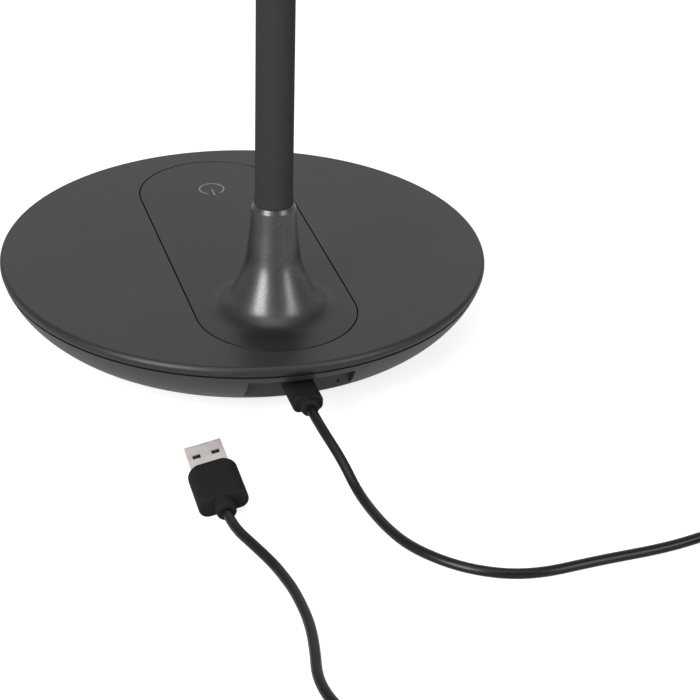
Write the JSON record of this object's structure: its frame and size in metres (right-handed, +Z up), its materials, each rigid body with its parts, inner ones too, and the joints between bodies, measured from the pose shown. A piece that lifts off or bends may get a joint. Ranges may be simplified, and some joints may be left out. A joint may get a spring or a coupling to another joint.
{
  "type": "led desk lamp",
  "caption": "Cordless desk lamp with a round touch-switch base, a bendable stem, a slim LED head and a USB charging cable.",
  "frame": {"origin": "centre of the base's foot pad, on the desk", "axes": "+Z up along the stem, -Y to the front where the touch switch is, +Y to the back where the stem and the charging socket are"},
  "size_m": [0.234, 0.4514, 0.3489],
  "materials": {
    "cover_plastic": "matte, fine grain",
    "panel_plastic": "satin, fine metallic fleck",
    "symbol_window": "matte light-passing inlay",
    "shell_plastic": "satin",
    "port_plastic": "matte",
    "pad_rubber": "matte",
    "screw_steel": "zinc plated",
    "ballast_steel": "plain rolled",
    "frame_steel": "zinc plated",
    "core_steel": "oiled",
    "sleeve_silicone": "very matte",
    "cell_wrap": "shrink wrap",
    "inner_plastic": "plain",
    "contact_brass": "bright",
    "wire_cover": "plain",
    "board_laminate": "lacquered",
    "board_parts": "moulded",
    "ribbon": "plain",
    "socket_steel": "nickel plated",
    "clear_plastic": "clear",
    "collar_metal": "dark anodised",
    "head_plastic": "matte, fine grain",
    "led_board": "white lacquer",
    "led": "moulded",
    "diffuser": "frosted",
    "plug_plastic": "satin",
    "cord_cover": "satin",
    "tie_strap": "matte"
  },
  "bodies": {
    "root": {"top_cover": "cover_plastic", "control_panel": "panel_plastic", "power_symbol": "symbol_window", "lower_shell": "shell_plastic", "port_plate": "port_plastic", "foot_pad": "pad_rubber", "base_screws": "screw_steel", "ballast_ring": "ballast_steel", "ballast_screws": "screw_steel", "battery_cell": "cell_wrap", "battery_cradle": "inner_plastic", "battery_contacts": "contact_brass", "battery_wires": "wire_cover", "main_board": "board_laminate", "board_parts": "board_parts", "board_screws": "screw_steel", "usb_socket_shell": "socket_steel", "usb_socket_tongue": "inner_plastic", "charge_light": "clear_plastic", "light_pipe": "clear_plastic", "touch_board": "board_laminate", "touch_cable": "ribbon", "stem_ferrule": "frame_steel", "ferrule_nut": "frame_steel", "stem_bracket": "frame_steel", "bracket_screws": "screw_steel", "neck_core_0": "core_steel", "neck_wires": "wire_cover"},
    "neck_link_1": {"neck_core_1": "core_steel", "neck_sleeve_1": "sleeve_silicone"},
    "neck_link_2": {"neck_core_2": "core_steel", "neck_sleeve_2": "sleeve_silicone"},
    "neck_link_3": {"neck_core_3": "core_steel", "neck_sleeve_3": "sleeve_silicone"},
    "neck_link_4": {"neck_core_4": "core_steel", "neck_sleeve_4": "sleeve_silicone"},
    "neck_link_5": {"neck_core_5": "core_steel", "neck_sleeve_5": "sleeve_silicone"},
    "head": {"neck_core_6": "core_steel", "neck_sleeve_6": "sleeve_silicone", "head_collar": "collar_metal", "head_ferrule": "frame_steel", "head_housing": "head_plastic", "head_board": "led_board", "head_leds": "led", "head_screws": "screw_steel", "head_bezel": "head_plastic", "head_diffuser": "diffuser"},
    "cable": {"plug_tip": "socket_steel", "plug_insert": "inner_plastic", "plug_body": "plug_plastic", "cord_lamp_side": "cord_cover", "cord_coil": "cord_cover", "cord_usb_side": "cord_cover", "coil_tie": "tie_strap", "usb_a_body": "plug_plastic", "usb_a_shell": "socket_steel", "usb_a_insert": "inner_plastic", "usb_a_contacts": "contact_brass"}
  },
  "joints": [
    {"name": "neck_bend_1", "type": "hinge", "parent": "root", "child": "neck_link_1", "pos_m": [0, 0.0423, 0.09245], "axis": [1, 0, 0], "range_deg": [-18, 18], "deforming": ["neck_sleeve_1", "neck_wires"]},
    {"name": "neck_sway_1", "type": "hinge", "parent": "neck_link_1", "child": "neck_link_2", "pos_m": [0, 0.0423, 0.14245], "axis": [0, 1, 0], "range_deg": [-18, 18], "deforming": ["neck_sleeve_2", "neck_wires"]},
    {"name": "neck_bend_2", "type": "hinge", "parent": "neck_link_2", "child": "neck_link_3", "pos_m": [0, 0.0423, 0.19245], "axis": [1, 0, 0], "range_deg": [-18, 18], "deforming": ["neck_sleeve_3", "neck_wires"]},
    {"name": "neck_sway_2", "type": "hinge", "parent": "neck_link_3", "child": "neck_link_4", "pos_m": [0, 0.0423, 0.24245], "axis": [0, 1, 0], "range_deg": [-18, 18], "deforming": ["neck_sleeve_4", "neck_wires"]},
    {"name": "neck_bend_3", "type": "hinge", "parent": "neck_link_4", "child": "neck_link_5", "pos_m": [0, 0.03821, 0.29199], "axis": [1, 0, 0], "range_deg": [-18, 18], "deforming": ["neck_sleeve_5", "neck_wires"]},
    {"name": "neck_sway_3", "type": "hinge", "parent": "neck_link_5", "child": "head", "pos_m": [0, 0.00716, 0.3299], "axis": [0, 0.512, 0.859], "range_deg": [-18, 18], "deforming": ["neck_sleeve_6", "neck_wires"]},
    {"name": "plug_pull", "type": "slide", "parent": "root", "child": "cable", "axis": [0, 1, 0], "range_m": [0, 0.012]}
  ],
  "couplings": [
    {"joint": "neck_bend_2", "follows": "neck_bend_1", "ratio": 1},
    {"joint": "neck_bend_3", "follows": "neck_bend_1", "ratio": 1},
    {"joint": "neck_sway_2", "follows": "neck_sway_1", "ratio": 1},
    {"joint": "neck_sway_3", "follows": "neck_sway_1", "ratio": 1}
  ]
}
